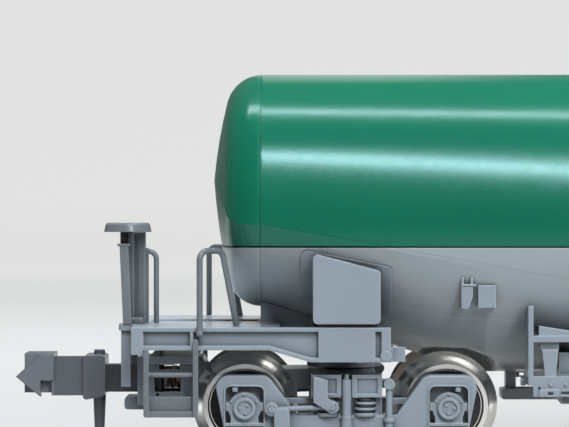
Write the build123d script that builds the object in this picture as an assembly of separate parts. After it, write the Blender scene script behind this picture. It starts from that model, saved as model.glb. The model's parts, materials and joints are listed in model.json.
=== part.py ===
from build123d import *
import os
from math import radians, sin, sqrt

# Model railway tank car on two bogies, N gauge, 1:150. Lengths are in millimetres.
# X runs along the car with the hand brake at -X, Y runs across it, and Z rises from
# the lowest points of the wheel flanges. Pieces are drawn at the -X end and on the
# near side, -Y, and mirrored from there.
os.makedirs("parts", exist_ok=True)

# Wheelsets
flange_r = 3.35
tread_r = 2.8
tread_taper = 0.1
wheel_back_y = 3.7
wheel_w = 2.1
flange_w = 0.55
rim_w = 0.45
dish_depth = 0.45
hub_r = 0.95
axle_r = 0.6
journal_r = 0.4
journal_len = 1.55
point_len = 0.35
journal_fit = 0.05
end_float = 0.15

# Bogies
bogie_x = 29.25  # car centre to bogie centre
axle_half = 6.35  # bogie centre to axle
bogie_swing = 10  # degrees each way
side_in_y = 6.7  # inner face of a side frame
side_t = 1.2
side_edge = 0.08
pedestal_rise = 2.06  # top above the axle
beam_drop = 0.38  # top of the lower beam below the axle
beam_depth = 1.27
beam_half = 3.6
recess_w = 2.4
recess_h = 3.1
recess_t = 0.6
lip_w = 0.08
box_r = 1.0
cap_r = 0.66
cap_in_r = 0.49
cap_t = 0.35
link_r = 0.17
link_eye_r = 0.41
bolster_rise = 2.1  # bolster top above the axle
bolster_t = 1.35
bolster_half = 2.2
bolster_box_h = 1.4
coil_x = 1.13
coil_out_r = 0.66
coil_in_r = 0.5
coil_turns = 3
coil_tilt = 6
damper_r = 0.31
side_damper_x = 2.64
side_damper_r = 0.21
stud_r = 1.2
stud_fit = 0.08
stud_lip = 0.25
stud_head_t = 0.35
stud_play = 0.05
boss_r = 2.4
boss_h = 1.4
pad_gap = 0.1

# Couplers
coupler_arm = 12.05  # bogie centre to the coupler's turning axis
coupler_reach = 9.2  # turning axis to the nose
coupler_rise = 1.4  # shank middle above the axle
head_half_y = 1.7
head_wall = 0.5
shank_h = 1.8
shank_half_y = 0.5
tail_half_y = 1.15
tail_r = 0.32
pin_r = 0.42
tongue_half_y = 2.1
pocket_wall = 0.6
pocket_gap = 0.15
mouth_gap = 0.45
spring_r = 0.62
spring_wire_r = 0.09
spring_pitch = 0.4
spring_turns = 3

# End frames
sill_inset = 0.38  # sill face inside the tank's side
sill_out = 12.58  # bogie centre to the sill's outer end
sill_in = 2.69  # bogie centre to the sill's inner end
deck_rise = 1.49  # deck above the bolster's underside
sill_h = 1.4
bolster_sill_h = 2.14
slope_out = 4.81  # bogie centre to the two ends of the sloping flange
slope_in = 2.25
flange_t = 0.25
web_in = 0.35
web_t = 0.4
deck_t = 0.4
deck_in = 4.2  # bogie centre to the deck's inner edge
deck_dip_y = 2.6
deck_dip = 0.1
end_beam_t = 0.73
end_beam_h = 1.68
apron = 1.1
apron_half_y = 4.6
hanger_y = 4.0
hanger_w = 0.6
hanger_drop = 3.9
step_out = 0.04  # sill's outer end to the step
step_w = 3.36
step_drop = 5.53
step_t = 0.3
stile_w = 0.32
rail_r = 0.19
rail_bend = 0.6
rail_h = 4.72

# Tank
tank_r = 9.68
tank_drop = 3.27  # tank bottom below the deck
tank_wall = 0.9
head_seam = 34.4
head_tip = 37.8
full_x = 20.5  # full round section inside this
head_lift = 4.25  # rise of the bottom at the heads
sheet_extra_r = 1.76  # how much flatter the bottom sheet is at the heads
head_depth = 3.3
head_bend = 2.4
low_depth = 3.2
low_bend = 2.2
wheel_gap = 0.27
room_y = 6.4
room_in_y = 1.9
split_drop = 1.5
split_gap = 0.12
split_depth = 0.2
weight_l = 26.0
weight_w = 9.0
weight_h = 4.0
weight_lift = 3.0
rib_t = 0.8
seat_gap = 0.03

# Saddles
saddle_out = 2.1
saddle_in = 2.05
saddle_gap = 0.22
saddle_top_drop = 0.35  # saddle top below the joint of the tank
saddle_fall = 1.1
saddle_proud = 0.2
saddle_deep = 4.0
wrap_t = 0.12
wrap_rim = 0.75

# Centre frame, heights from the deck
frame_half = 18.08
frame_t = 0.4
brace_x = 9.5
frame_post_t = 0.3
post_deep = 2.1
post_rise = 1.25
beam_top_drop = 0.5
beam_t = 0.4
low_beam_drop = 3.0
low_beam_t = 0.38
cross_w = 1.0
cross_inset = 2.5  # end cross members inside the frame's ends
cross_x = 5.5  # inner cross members
cross_drop = 4.3
spine_drop = 5.05
spine_h = 0.7
spine_half_y = 1.0
spine_out = 0.92
leg_w = 0.67
gear_drop = 4.26  # underside of the gear plates
gear_in = 5.0  # their inner end inside the frame's end

# Top and side fittings
manhole_r = 2.3
manhole_h = 1.2
lid_r = 2.65
lid_t = 0.4
valve_x = 4.6
valve_r = 0.8
walk_half = 7.5
walk_in_y = 3.8
walk_w = 2.8
walk_t = 0.35
walk_gap = 0.1
ladder_half = 1.6
ladder_gap = 0.6
ladder_t = 0.3
ladder_rungs = 11

# Heights and edges that follow from the sizes above
axle_z = flange_r
bolster_top = axle_z + bolster_rise
boss_low = bolster_top + pad_gap
frame_low = boss_low + boss_h
deck_z = frame_low + deck_rise
tank_low = deck_z - tank_drop
tank_z = tank_low + tank_r
tank_top = tank_z + tank_r
split_z = tank_z - split_drop
sill_y = tank_r - sill_inset
wheel_face_y = wheel_back_y + wheel_w
journal_end_y = wheel_face_y + journal_len
side_out_y = side_in_y + side_t
end_x = bogie_x + sill_out + end_beam_t


def block(x0, x1, y0, y1, z0, z1):
    middle = Pos((x0 + x1) / 2, (y0 + y1) / 2, (z0 + z1) / 2)
    return middle * Box(x1 - x0, y1 - y0, z1 - z0)


def sheet(points):
    return make_face(Polyline(*points, close=True))


def rounded(points, radius):
    return make_face(FilletPolyline(*points, radius=radius, close=True))


def side_plate(sketch, y0, y1):
    """Sketch of X and Z, between two Y."""
    return Pos(0, y1, 0) * extrude(Plane.XZ * sketch, amount=y1 - y0)


def end_plate(sketch, x0, x1):
    """Sketch of Y and Z, between two X."""
    return Pos(x0, 0, 0) * extrude(Plane.YZ * sketch, amount=x1 - x0)


def turned(points, place):
    """Outline of (radius, height) points turned about the Z of a place."""
    return place * revolve(Plane.XZ * sheet(points), Axis.Z)


def bar(start, end, radius):
    start = Vector(*start)
    along = Vector(*end) - start
    return Solid.make_cylinder(radius, along.length, Plane(start, z_dir=along))


def wire(points, bend, radius):
    """Bent round wire."""
    path = FilletPolyline(*points, radius=bend)
    return sweep(Plane(path @ 0, z_dir=path % 0) * Circle(radius), path)


def other_side(shape):
    return mirror(shape, about=Plane.XZ)


def other_end(shape):
    return mirror(shape, about=Plane.YZ)


def both_sides(shape):
    return shape + other_side(shape)


def save(name, shape):
    export_step(shape, "parts/" + name + ".step")


def save_corners(name, shape):
    """One piece at each corner: ends a and b, sides l and r."""
    save(name + "_al", shape)
    save(name + "_ar", other_side(shape))
    save(name + "_bl", other_end(shape))
    save(name + "_br", other_end(other_side(shape)))


# Tank: round barrel, bottom sheets rising to pressed heads, in two mouldings.
def short_arc(centre, start, end, radius):
    middle = centre + ((start - centre) + (end - centre)).normalized() * radius
    return ThreePointArc(start, middle, end)


def dished_bar(radius, axis_z, bend, depth, far_x, grow, flats):
    """Bar about X from far_x to a pressed head at -X: crown arc and edge bend, or flats."""
    crown = (depth**2 + (radius - bend) ** 2 - bend**2) / (2 * (depth - bend))
    tip = Vector(-head_tip - grow, 0, axis_z)
    crown_mid = Vector(crown - head_tip, 0, axis_z)
    bend_mid = Vector(depth - head_tip, 0, axis_z + radius - bend)
    join = crown_mid + (bend_mid - crown_mid).normalized() * (crown + grow)
    edge = bend_mid + Vector(0, 0, bend + grow)
    side = Polyline(edge, (far_x, 0, edge.Z), (far_x, 0, axis_z), tip)
    head = Polyline(tip, join, edge).edges()
    if not flats:
        head = [
            short_arc(crown_mid, tip, join, crown + grow),
            short_arc(bend_mid, join, edge, bend + grow),
        ]
    return revolve(make_face(Wire([*head, *side.edges()])), Axis((0, 0, axis_z), (1, 0, 0)))


def tank_body(grow, flats=False):
    half = dished_bar(tank_r, tank_z, head_bend, head_depth, 0, grow, flats)
    sheet_r = tank_r + sheet_extra_r
    sheet_z = tank_low + head_lift + sheet_r
    below = dished_bar(sheet_r, sheet_z, low_bend, low_depth, -head_seam, grow, flats)
    across = dict(x_dir=(0, 0, 1), z_dir=(1, 0, 0))
    outer_ring = Plane((-head_seam, 0, sheet_z), **across) * Circle(sheet_r + grow)
    inner_ring = Plane((-full_x, 0, tank_z), **across) * Circle(tank_r + grow)
    below += loft([outer_ring, inner_ring], ruled=True)
    beyond = head_tip + tank_r
    half -= block(-beyond, -full_x, -beyond, beyond, 0, tank_top + tank_r) - below
    return half + other_end(half)


tank = tank_body(0)
seat = tank_body(seat_gap)
hollow = tank_body(-tank_wall, flats=True)
wheel_x = bogie_x - axle_half
room_r = flange_r + wheel_gap
straight_room = bar((-wheel_x, -room_y, axle_z), (-wheel_x, room_y, axle_z), room_r)
straight_room -= block(-bogie_x, 0, -room_in_y, room_in_y, 0, tank_z)
wheel_room = straight_room
for turn in (-bogie_swing, bogie_swing):
    swung = Pos(-bogie_x, 0, 0) * Rot(0, 0, turn) * Pos(bogie_x, 0, 0)
    wheel_room = wheel_room + swung * straight_room
lid_x = room_r + room_y * sin(radians(bogie_swing)) + tank_wall
lid_y = room_y + axle_half * sin(radians(bogie_swing)) + tank_wall
room_lid = block(
    -wheel_x - lid_x, -wheel_x + lid_x, -lid_y, lid_y, 0, axle_z + room_r + tank_wall
)
hollow -= room_lid
hollow -= other_end(room_lid)
weight_z = tank_low + weight_lift
half_w = weight_w / 2
for x in (-weight_l / 2, weight_l / 2 - rib_t):
    hollow -= block(x, x + rib_t, -half_w, half_w, 0, weight_z)
shell = tank - hollow
lip = tank_body(-split_depth) - hollow
around = (-head_tip - 1, head_tip + 1, -tank_r - 1, tank_r + 1)
tank_upper = shell & block(*around, split_z + split_gap, tank_top + 1)
tank_upper += lip & block(*around, split_z, split_z + split_gap)
tank_lower = shell & block(*around, 0, split_z)
tank_lower -= wheel_room
tank_lower -= other_end(wheel_room)
save("tank_upper", tank_upper)
save("tank_lower", tank_lower)
half_l = weight_l / 2
save("weight", block(-half_l, half_l, -half_w, half_w, weight_z, weight_z + weight_h))

# Saddles: a cradle block over each end of the bolsters, under a plate on the tank.
out_x = bogie_x + saddle_out
in_x = bogie_x - saddle_in
saddle_y = sill_y + saddle_proud
saddle_z = deck_z + saddle_gap
cradle_top = split_z - saddle_top_drop
cradle = [
    (-out_x, saddle_z),
    (-out_x, cradle_top),
    (-in_x, cradle_top - saddle_fall),
    (-in_x, saddle_z),
]
wrap = [
    (-out_x - wrap_rim, saddle_z + 0.4),
    (-out_x - wrap_rim, cradle_top + 0.25),
    (-in_x + wrap_rim, cradle_top - saddle_fall + 0.25),
    (-in_x + wrap_rim, saddle_z + 0.4),
]
saddle = side_plate(rounded(cradle, 0.25), -saddle_y, -saddle_y + saddle_deep)
saddle += block(
    -out_x + 0.3, -in_x - 0.3, -sill_y + 0.5, -saddle_y + saddle_deep, deck_z, saddle_z + 0.3
)
saddle -= seat
wrap_skin = tank_body(wrap_t) - seat
saddle += wrap_skin & side_plate(rounded(wrap, 0.4), -tank_r - 1, -saddle_y + saddle_deep)
save_corners("saddle", saddle)

# End frame: sills, deck, end beam, bolster and bogie stud in one moulding.
sill_end = -bogie_x + sill_in
sill_start = -bogie_x - sill_out
mid_z = deck_z - sill_h
low_z = deck_z - bolster_sill_h
web_y = -sill_y + web_in
sill_bottom = [
    (sill_start, mid_z),
    (-bogie_x - slope_out, mid_z),
    (-bogie_x - slope_in, low_z),
    (sill_end, low_z),
]
flange_top = [(x, z + flange_t) for x, z in reversed(sill_bottom)]
web = sheet([*sill_bottom, (sill_end, deck_z), (sill_start, deck_z)])
sill = side_plate(web, web_y, web_y + web_t)
sill += side_plate(sheet([*sill_bottom, *flange_top]), -sill_y, web_y)
sill += block(sill_start, sill_end, -sill_y, web_y, deck_z - flange_t, deck_z)
# Stiffeners as (start from the bogie centre along X, width, bottom)
stiffeners = [(-9.68, 0.18, mid_z), (-1.77, 3.5, low_z), (2.12, 0.57, low_z)]
for start, width, bottom in stiffeners:
    start -= bogie_x
    sill += block(start, start + width, -sill_y, web_y, bottom, deck_z)
roll_x = sill_end - 0.3
sill += bar((roll_x, -sill_y - 0.08, low_z + 0.36), (roll_x, web_y, low_z + 0.36), 0.34)
sill += block(sill_end, sill_end + 0.93, web_y + 0.3, web_y + 0.8, low_z, low_z + 0.9)
sill += block(sill_end - 0.2, sill_end + 0.1, web_y, web_y + 0.8, low_z, low_z + 0.9)
frame = both_sides(sill)
deck_low = deck_z - deck_t
deck_end = -bogie_x - deck_in
frame += block(-end_x, deck_end, web_y, -web_y, deck_low, deck_z)
apron_outline = [
    (-end_x, -apron_half_y),
    (-end_x - apron, -apron_half_y),
    (-end_x - apron, apron_half_y),
    (-end_x, apron_half_y),
]
frame += Pos(0, 0, deck_low) * extrude(rounded(apron_outline, 0.35), amount=deck_t)
frame += block(-end_x - apron / 2, -end_x, -apron_half_y, apron_half_y, deck_low, deck_z)
frame -= block(-end_x - apron, deck_end, -deck_dip_y, deck_dip_y, deck_z - deck_dip, deck_z)
frame += block(-end_x, -end_x + end_beam_t, -sill_y, sill_y, deck_z - end_beam_h, deck_z)
hanger_in = -end_x - 0.35
hanger = block(hanger_in - 0.6, hanger_in, -hanger_w / 2, hanger_w / 2, -hanger_drop, 0)
for y in (-hanger_y, hanger_y):
    frame += Pos(0, y, deck_z - deck_dip) * hanger
frame += block(-out_x, -in_x, web_y, -web_y, frame_low, deck_z)
keel_x = deck_end - 1.2
keel_half_y = 3.0
frame += block(keel_x, -out_x, -keel_half_y, keel_half_y, deck_low, tank_low + head_lift + 0.6)
toe_r = 0.35
toe = block(keel_x - toe_r, keel_x, -keel_half_y, keel_half_y, deck_low, deck_z - deck_dip + toe_r)
toe_z = deck_z - deck_dip + toe_r
toe -= bar(
    (keel_x - toe_r, -keel_half_y, toe_z), (keel_x - toe_r, keel_half_y, toe_z), toe_r
)
frame += toe
stud_low = bolster_top - bolster_t - stud_head_t - stud_play
frame += bar((-bogie_x, 0, boss_low), (-bogie_x, 0, frame_low), boss_r)
stud = [
    (0, stud_low),
    (stud_r, stud_low),
    (stud_r + stud_lip, stud_low + stud_head_t),
    (stud_r, stud_low + stud_head_t),
    (stud_r, boss_low),
    (0, boss_low),
]
frame += turned(stud, Pos(-bogie_x, 0, 0))
frame -= seat
save("end_frame_a", frame)
save("end_frame_b", other_end(frame))

# Steps below the sills: two stiles, a rung, a back plate and a tread.
step_x = sill_start + step_out
step_low = deck_z - step_drop
step_back = -sill_y + step_t
stile_h = mid_z - step_low
step = Part()
# Stiles as (middle from the step's outer edge, how far the top rises past the sill)
stiles = [(stile_w / 2, 0), (step_w - stile_w / 2, 0.7)]
for place, rise in stiles:
    slot = SlotOverall(stile_h + rise, stile_w, rotation=90)
    middle = Pos(step_x + place, step_low + (stile_h + rise) / 2)
    step += side_plate(middle * slot, -sill_y - 0.2, step_back)
rung_z = step_low + 2.6
step += bar(
    (step_x + 0.1, -sill_y + 0.15, rung_z), (step_x + step_w - 0.1, -sill_y + 0.15, rung_z), 0.17
)
step += block(
    step_x + 0.1, step_x + step_w - 0.1, -sill_y + 0.12, step_back, step_low + 0.2, step_low + 1.26
)
step += block(
    step_x + 0.1, step_x + step_w - 0.1, -sill_y - 0.1, -sill_y + 0.8, step_low, step_low + 0.34
)
step -= block(step_x, step_x + step_w, -sill_y, web_y, mid_z, deck_z)
save_corners("step", step)

# Handrails at the frame corners, with a ball at the outer foot.
rail_x = sill_start + 3.5
rail_y = -sill_y - rail_r - 0.01
rail_z = deck_z + rail_h
corner_rail = wire(
    [
        (rail_x, rail_y, deck_z - 0.4),
        (rail_x, rail_y, rail_z),
        (rail_x + 1.35, rail_y + 1.25, rail_z),
        (rail_x + 2.21, rail_y + 2.4, deck_z),
    ],
    rail_bend,
    rail_r,
)
corner_rail += Pos(rail_x, rail_y, deck_z - 0.36) * Sphere(rail_r + 0.04)
corner_rail += block(rail_x - 0.17, rail_x + 0.17, rail_y, -sill_y, deck_z - 0.24, deck_z)
corner_rail -= block(rail_x - 1, rail_x + 1, -sill_y, web_y, mid_z, deck_z)
save_corners("handrail", corner_rail)

# Hand brake on the end deck: stand, wheel and hooked handrail.
brake_x = -end_x - 0.54
brake_y = -hanger_y
brake_z = deck_z + 5.86
shelf_z = brake_z - 0.2
stand = block(
    brake_x - 0.5, brake_x + 1.3, brake_y - 1.1, brake_y + 1.1, shelf_z - 0.3, shelf_z
)
# Posts as (from the shaft along X, from the shaft along Y, width along X, along Y)
posts = [(0.28, 0.0, 0.35, 0.6), (0.73, -0.9, 0.35, 0.4), (1.08, 0.9, 0.35, 0.4)]
for x, y, wide, deep in posts:
    left = brake_x + x - wide / 2
    front = brake_y + y - deep / 2
    stand += block(left, left + wide, front, front + deep, deck_z, shelf_z)
stand += bar((brake_x, brake_y, shelf_z - 0.1), (brake_x, brake_y, brake_z), 0.25)
lean = [
    (brake_x - 0.4, deck_z),
    (brake_x + 0.05, deck_z),
    (brake_x - 0.2, shelf_z - 0.2),
    (brake_x - 0.6, shelf_z - 0.2),
]
stand += side_plate(sheet(lean), brake_y - 0.25, brake_y + 0.25)
save("brake_stand", stand)
rim = [(1.15, 0), (1.52, 0), (1.42, 0.45), (1.32, 0.58), (1.15, 0.58)]
wheel_seat = Pos(brake_x, brake_y, brake_z)
hand_wheel = turned(rim, wheel_seat)
for turn in (0, 90):
    hand_wheel += wheel_seat * Rot(0, 0, turn) * Pos(0, 0, 0.25) * Box(2.5, 0.3, 0.25)
hand_wheel += turned([(0, 0), (0.35, 0), (0.35, 0.4), (0.2, 0.55), (0, 0.55)], wheel_seat)
save("brake_wheel", hand_wheel)
hook_x = brake_x + 1.08
hook_y = -deck_dip_y + 0.2
end_rail = wire(
    [
        (hook_x, hook_y, brake_z - 1.27),
        (hook_x + 0.66, hook_y, brake_z - 1.27),
        (hook_x + 0.66, hook_y, deck_z - deck_dip),
    ],
    0.5,
    0.17,
)
end_rail += bar((hook_x, hook_y, deck_z - deck_dip), (hook_x, hook_y, brake_z - 1.05), 0.17)
save("end_rail_a", end_rail)

# Centre frame: long beams on each side, end posts, gussets and cross members.
beam_top = deck_z - beam_top_drop
low_beam_top = deck_z - low_beam_drop
low_beam_z = low_beam_top - low_beam_t
frame_back = -sill_y + frame_t
cross_z = deck_z - cross_drop


def frame_end():
    """Near corner of the centre frame at -X."""
    post = block(
        -frame_half,
        -frame_half + frame_post_t,
        -sill_y,
        -sill_y + post_deep,
        low_beam_z - 0.2,
        deck_z + post_rise,
    )
    post_mid = -frame_half + frame_post_t / 2
    post_y = -sill_y + frame_t / 2
    top = deck_z + post_rise
    post += bar((post_mid, post_y, top), (post_mid, post_y, top + 0.1), 0.2)
    foot_y = -sill_y + post_deep - 0.27
    foot_z = low_beam_z - 0.06
    post += bar((-frame_half - 0.3, foot_y, foot_z), (-frame_half, foot_y, foot_z), 0.27)
    gusset_x = -frame_half + 1.35
    # Gusset half widths as (half width, height), below a set-back web
    gusset = [(0.5, beam_top - 0.87), (0.32, low_beam_top)]
    outline = [(gusset_x - w, z) for w, z in gusset]
    outline += [(gusset_x + w, z) for w, z in reversed(gusset)]
    post += side_plate(sheet(outline), -sill_y + 0.05, frame_back)
    post += block(
        gusset_x - 0.55, gusset_x + 0.55, frame_back - 0.1, frame_back, beam_top - 0.9, beam_top - beam_t
    )
    slope = [
        (-frame_half + 0.65, beam_top),
        (-frame_half + 0.65, beam_top + 0.6),
        (-frame_half + 4.5, beam_top),
    ]
    post += side_plate(sheet(slope), -sill_y + 0.05, -sill_y + 2.9)
    gear_z = deck_z - gear_drop
    gear_x = -frame_half + frame_post_t
    gear = block(gear_x, -frame_half + gear_in, -sill_y, frame_back, gear_z, low_beam_z)
    gear += block(gear_x + 0.35, gear_x + 1.55, -sill_y - 0.1, -sill_y, gear_z, gear_z + 0.45)
    gear -= bar((gear_x + 0.37, -sill_y, gear_z + 0.5), (gear_x + 0.37, frame_back, gear_z + 0.5), 0.1)
    # Slots as (middle from the outer end, width, middle up, height)
    slots = [
        (1.05, 0.35, 0.2, 0.2),
        (2.0, 0.6, 0.22, 0.2),
        (3.0, 0.6, 0.22, 0.2),
        (3.9, 0.4, 0.5, 0.3),
    ]
    for along, wide, up, high in slots:
        hole = Pos(gear_x + along, gear_z + up) * Rectangle(wide, high)
        gear -= side_plate(hole, -sill_y - 0.1, frame_back)
    return post + gear


beams = block(-frame_half, frame_half, -sill_y, frame_back, beam_top - beam_t, beam_top)
beams += block(-frame_half, frame_half, -sill_y, frame_back, low_beam_z, low_beam_top)
for x in (-brace_x, brace_x):
    beams += block(x - 0.4, x + 0.4, -sill_y + 0.1, frame_back, low_beam_top, beam_top - beam_t)
    beams += block(x - 0.4, x + 0.4, -sill_y + 0.1, -sill_y + 2.9, beam_top - 0.2, beam_top)
near = beams + frame_end() + other_end(frame_end())
centre = both_sides(near)
cross_half = sill_y - frame_t / 2
cross_section = block(
    -cross_w / 2, cross_w / 2, -cross_half, cross_half, cross_z, low_beam_top + 1.4
)
cross_section -= both_sides(
    block(-cross_w, cross_w, -sill_y, -cross_half + 0.9, low_beam_top, beam_top)
)
end_cross_x = frame_half - cross_inset
for x in (-end_cross_x, -cross_x, cross_x, end_cross_x):
    centre += Pos(x, 0, 0) * cross_section
# Spine bars below the cross members, each with a leg up to the tank near its end.
spine_z = deck_z - spine_drop
spine_x = frame_half + spine_out
spine_in = end_cross_x - cross_w / 2
leg_x = spine_x - 0.3
spine = block(-spine_x, -spine_in, -spine_half_y, spine_half_y, spine_z, spine_z + spine_h)
spine = fillet(spine.faces().sort_by(Axis.X)[0].edges().filter_by(Axis.Y), 0.15)
spine += block(
    -end_cross_x - cross_w / 2, -spine_in, -spine_half_y, spine_half_y, spine_z, cross_z + 0.1
)
spine += block(-leg_x, -leg_x + leg_w, -spine_half_y / 2, spine_half_y / 2, spine_z + 0.1, tank_z)
centre += spine
centre += other_end(spine)
centre -= seat
save("centre_frame", centre)

# Brake and discharge gear hung on the centre frame.
tank_y = 4.6
air_r = 1.4
air_z = cross_z - 0.09
air_mid = -10.7
air_half = 4.4
air_outline = [
    (0, -air_half),
    (air_r - 0.5, -air_half + 0.12),
    (air_r, -air_half + 0.6),
    (air_r, air_half - 0.6),
    (air_r - 0.5, air_half - 0.12),
    (0, air_half),
]
air_tank = turned(air_outline, Pos(air_mid, tank_y, air_z) * Rot(0, 90, 0))
air_tank += block(air_mid + 3.4, air_mid + 4, tank_y - 1, tank_y + 1, air_z, air_z + air_r + 0.4)
air_tank += block(air_mid - 4, air_mid - 3.4, tank_y - 1, tank_y + 1, air_z, air_z + air_r + 0.4)
save("air_tank", air_tank - seat - centre)
cylinder_x = 6.0
cylinder_z = cross_z - 1.6
cylinder_outline = [
    (0, -1.4),
    (0.35, -1.4),
    (0.35, -0.3),
    (1.5, -0.3),
    (1.5, 0),
    (1.3, 0),
    (1.3, 4.3),
    (1.0, 4.6),
    (0, 4.6),
]
brake_cylinder = turned(cylinder_outline, Pos(cylinder_x, -tank_y, cylinder_z) * Rot(0, 90, 0))
brake_cylinder += block(
    cylinder_x - 1.0, cylinder_x, -tank_y - 0.6, -tank_y + 0.6, cylinder_z, cross_z
)
save("brake_cylinder", brake_cylinder)
outlet_z = tank_low - 2.6
outlet_outline = [
    (0, -0.2),
    (1.1, -0.2),
    (1.1, 1.6),
    (1.6, 1.6),
    (1.6, 2.0),
    (1.1, 2.0),
    (1.1, 3.6),
    (0, 3.6),
]
outlet = turned(outlet_outline, Pos(0, 0, outlet_z))
outlet += Pos(0, 0, outlet_z) * Sphere(1.15)
pipe = [(0, -4.6), (0.75, -4.6), (0.75, 4.3), (1.1, 4.3), (1.1, 4.7), (0, 4.7)]
outlet += turned(pipe, Pos(0, 0, outlet_z) * Rot(90, 0, 0))
save("outlet_valve", outlet - seat)


# Small holders on the tank's sides.
def tank_side(z):
    return sqrt(tank_r**2 - (z - tank_z) ** 2)


card_z = tank_low + 4.43
holder_y = -tank_side(card_z + 1.97) - 0.06
card_x = -21.85
card = [
    (card_x - 0.35, card_z),
    (card_x + 0.08, card_z),
    (card_x + 0.35, card_z + 0.75),
    (card_x + 0.35, card_z + 1.35),
    (card_x - 0.35, card_z + 1.35),
]
card_holder = side_plate(sheet(card), holder_y, holder_y + 2)
for x in (card_x - 0.28, card_x + 0.28):
    card_holder += block(x - 0.07, x + 0.07, holder_y, holder_y + 2, card_z + 1.35, card_z + 1.97)
card_holder += block(
    card_x - 0.37, card_x + 0.55, holder_y - 0.05, holder_y + 2, card_z + 1.38, card_z + 1.52
)
card_holder -= seat
save("card_holder_l", card_holder)
save("card_holder_r", other_side(card_holder))
plate_x = -20.62
plate = block(plate_x - 0.55, plate_x + 0.55, holder_y, holder_y + 2, card_z + 0.05, card_z + 1.45)
plate -= seat
save("side_plate_l", plate)
save("side_plate_r", other_side(plate))

# Top of the tank: manhole, its lid, safety valve, walkways and ladders.
neck_top = tank_top + manhole_h
neck = [
    (0, tank_top - 1),
    (manhole_r, tank_top - 1),
    (manhole_r, neck_top - 0.35),
    (lid_r, neck_top - 0.35),
    (lid_r, neck_top),
    (0, neck_top),
]
save("manhole", turned(neck, Pos(0, 0, 0)) - seat)
lid = [
    (0, neck_top),
    (lid_r, neck_top),
    (lid_r, neck_top + lid_t - 0.1),
    (lid_r - 0.1, neck_top + lid_t),
    (manhole_r - 0.5, neck_top + lid_t),
    (manhole_r - 1.0, neck_top + lid_t + 0.3),
    (0, neck_top + lid_t + 0.35),
]
cover = turned(lid, Pos(0, 0, 0))
cover += block(-lid_r - 0.5, -lid_r + 0.2, -0.5, 0.5, neck_top, neck_top + lid_t)
save("manhole_lid", cover)
valve = [
    (0, tank_top - 1),
    (valve_r + 0.3, tank_top - 1),
    (valve_r + 0.3, tank_top + 0.4),
    (valve_r, tank_top + 0.4),
    (valve_r, tank_top + 1.3),
    (valve_r + 0.2, tank_top + 1.4),
    (valve_r + 0.2, tank_top + 1.7),
    (0, tank_top + 2.0),
]
save("safety_valve", turned(valve, Pos(valve_x, 0, 0)) - seat)
walk_z = tank_top + walk_gap
walk_out_y = walk_in_y + walk_w
walkway = block(-walk_half, walk_half, -walk_out_y, -walk_in_y, walk_z, walk_z + walk_t)
walkway += block(-walk_half, walk_half, -walk_out_y, -walk_out_y + 0.2, walk_z, walk_z + 0.6)
for x in (-6.2, -2.4, 2.4, 6.2):
    walkway += block(
        x - 0.2, x + 0.2, -walk_out_y + 0.1, -walk_in_y - 0.1, tank_top - tank_r / 2, walk_z
    )
walkway -= seat
save("walkway_l", walkway)
save("walkway_r", other_side(walkway))
ladder_y = tank_r + ladder_gap
ladder_top_y = walk_out_y + ladder_t / 2
ladder_top = walk_z + 0.6
stile_line = FilletPolyline(
    (-ladder_y, low_beam_top),
    (-ladder_y, tank_z + 0.31 * tank_r),
    (-ladder_top_y, tank_z + 0.89 * tank_r),
    (-ladder_top_y, ladder_top),
    radius=1.0,
)
stile_face = trace(stile_line, ladder_t)
ladder = end_plate(stile_face, -ladder_half, -ladder_half + ladder_t)
ladder += end_plate(stile_face, ladder_half - ladder_t, ladder_half)
for k in range(ladder_rungs):
    at = stile_line @ ((k + 0.5) / ladder_rungs)
    ladder += Pos(0, at.X, at.Y) * Box(2 * ladder_half - ladder_t, 0.22, 0.22)
ladder += block(
    -ladder_half, ladder_half, -ladder_y, -sill_y, beam_top - beam_t, beam_top - 0.1
)
save("ladder_l", ladder)
save("ladder_r", other_side(ladder))

# Wheelsets: turned wheels on a pointed axle.
tread_y = wheel_back_y + flange_w
wheel_outline = [
    (axle_r, wheel_back_y),
    (flange_r - 0.15, wheel_back_y),
    (flange_r, wheel_back_y + 0.15),
    (flange_r, wheel_back_y + 0.3),
    (flange_r - 0.3, tread_y),
    (tread_r, tread_y + 0.15),
    (tread_r - tread_taper, wheel_face_y - 0.08),
    (tread_r - tread_taper - 0.08, wheel_face_y),
    (tread_r - rim_w, wheel_face_y),
    (tread_r - rim_w - 0.1, wheel_face_y - dish_depth),
    (hub_r, wheel_face_y - dish_depth),
    (hub_r - 0.1, wheel_face_y),
    (axle_r, wheel_face_y),
]
axle_outline = [
    (0, -journal_end_y - point_len),
    (0.06, -journal_end_y - point_len),
    (journal_r, -journal_end_y),
    (journal_r, -wheel_face_y),
    (axle_r, -wheel_face_y),
    (axle_r, wheel_face_y),
    (journal_r, wheel_face_y),
    (journal_r, journal_end_y),
    (0.06, journal_end_y + point_len),
    (0, journal_end_y + point_len),
]
# Wheelsets as (name, place along X)
wheelsets = [
    ("1", -bogie_x - axle_half),
    ("2", -bogie_x + axle_half),
    ("3", bogie_x - axle_half),
    ("4", bogie_x + axle_half),
]
for number, x in wheelsets:
    across = Pos(x, 0, axle_z) * Rot(-90, 0, 0)
    save("axle_" + number, turned(axle_outline, across))
    wheel = turned(wheel_outline, across)
    save("wheel_" + number + "r", wheel)
    save("wheel_" + number + "l", other_side(wheel))

# Bogie side frame. Its outlines are (along X from the bogie centre, up from the axle).
here = Pos(-bogie_x, axle_z)
box_x = -axle_half


def side_profile():
    outline = [
        (-8.29, pedestal_rise),
        (-4.89, pedestal_rise),
        (-2.4, -1.3),
        (-4.9, -2.05),
        (-7.48, -2.05),
    ]
    pedestal = rounded(outline, 0.8)
    beam = Pos(0, -beam_drop - beam_depth / 2) * Rectangle(2 * beam_half, beam_depth)
    return pedestal + mirror(pedestal, about=Plane.YZ) + beam


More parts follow.
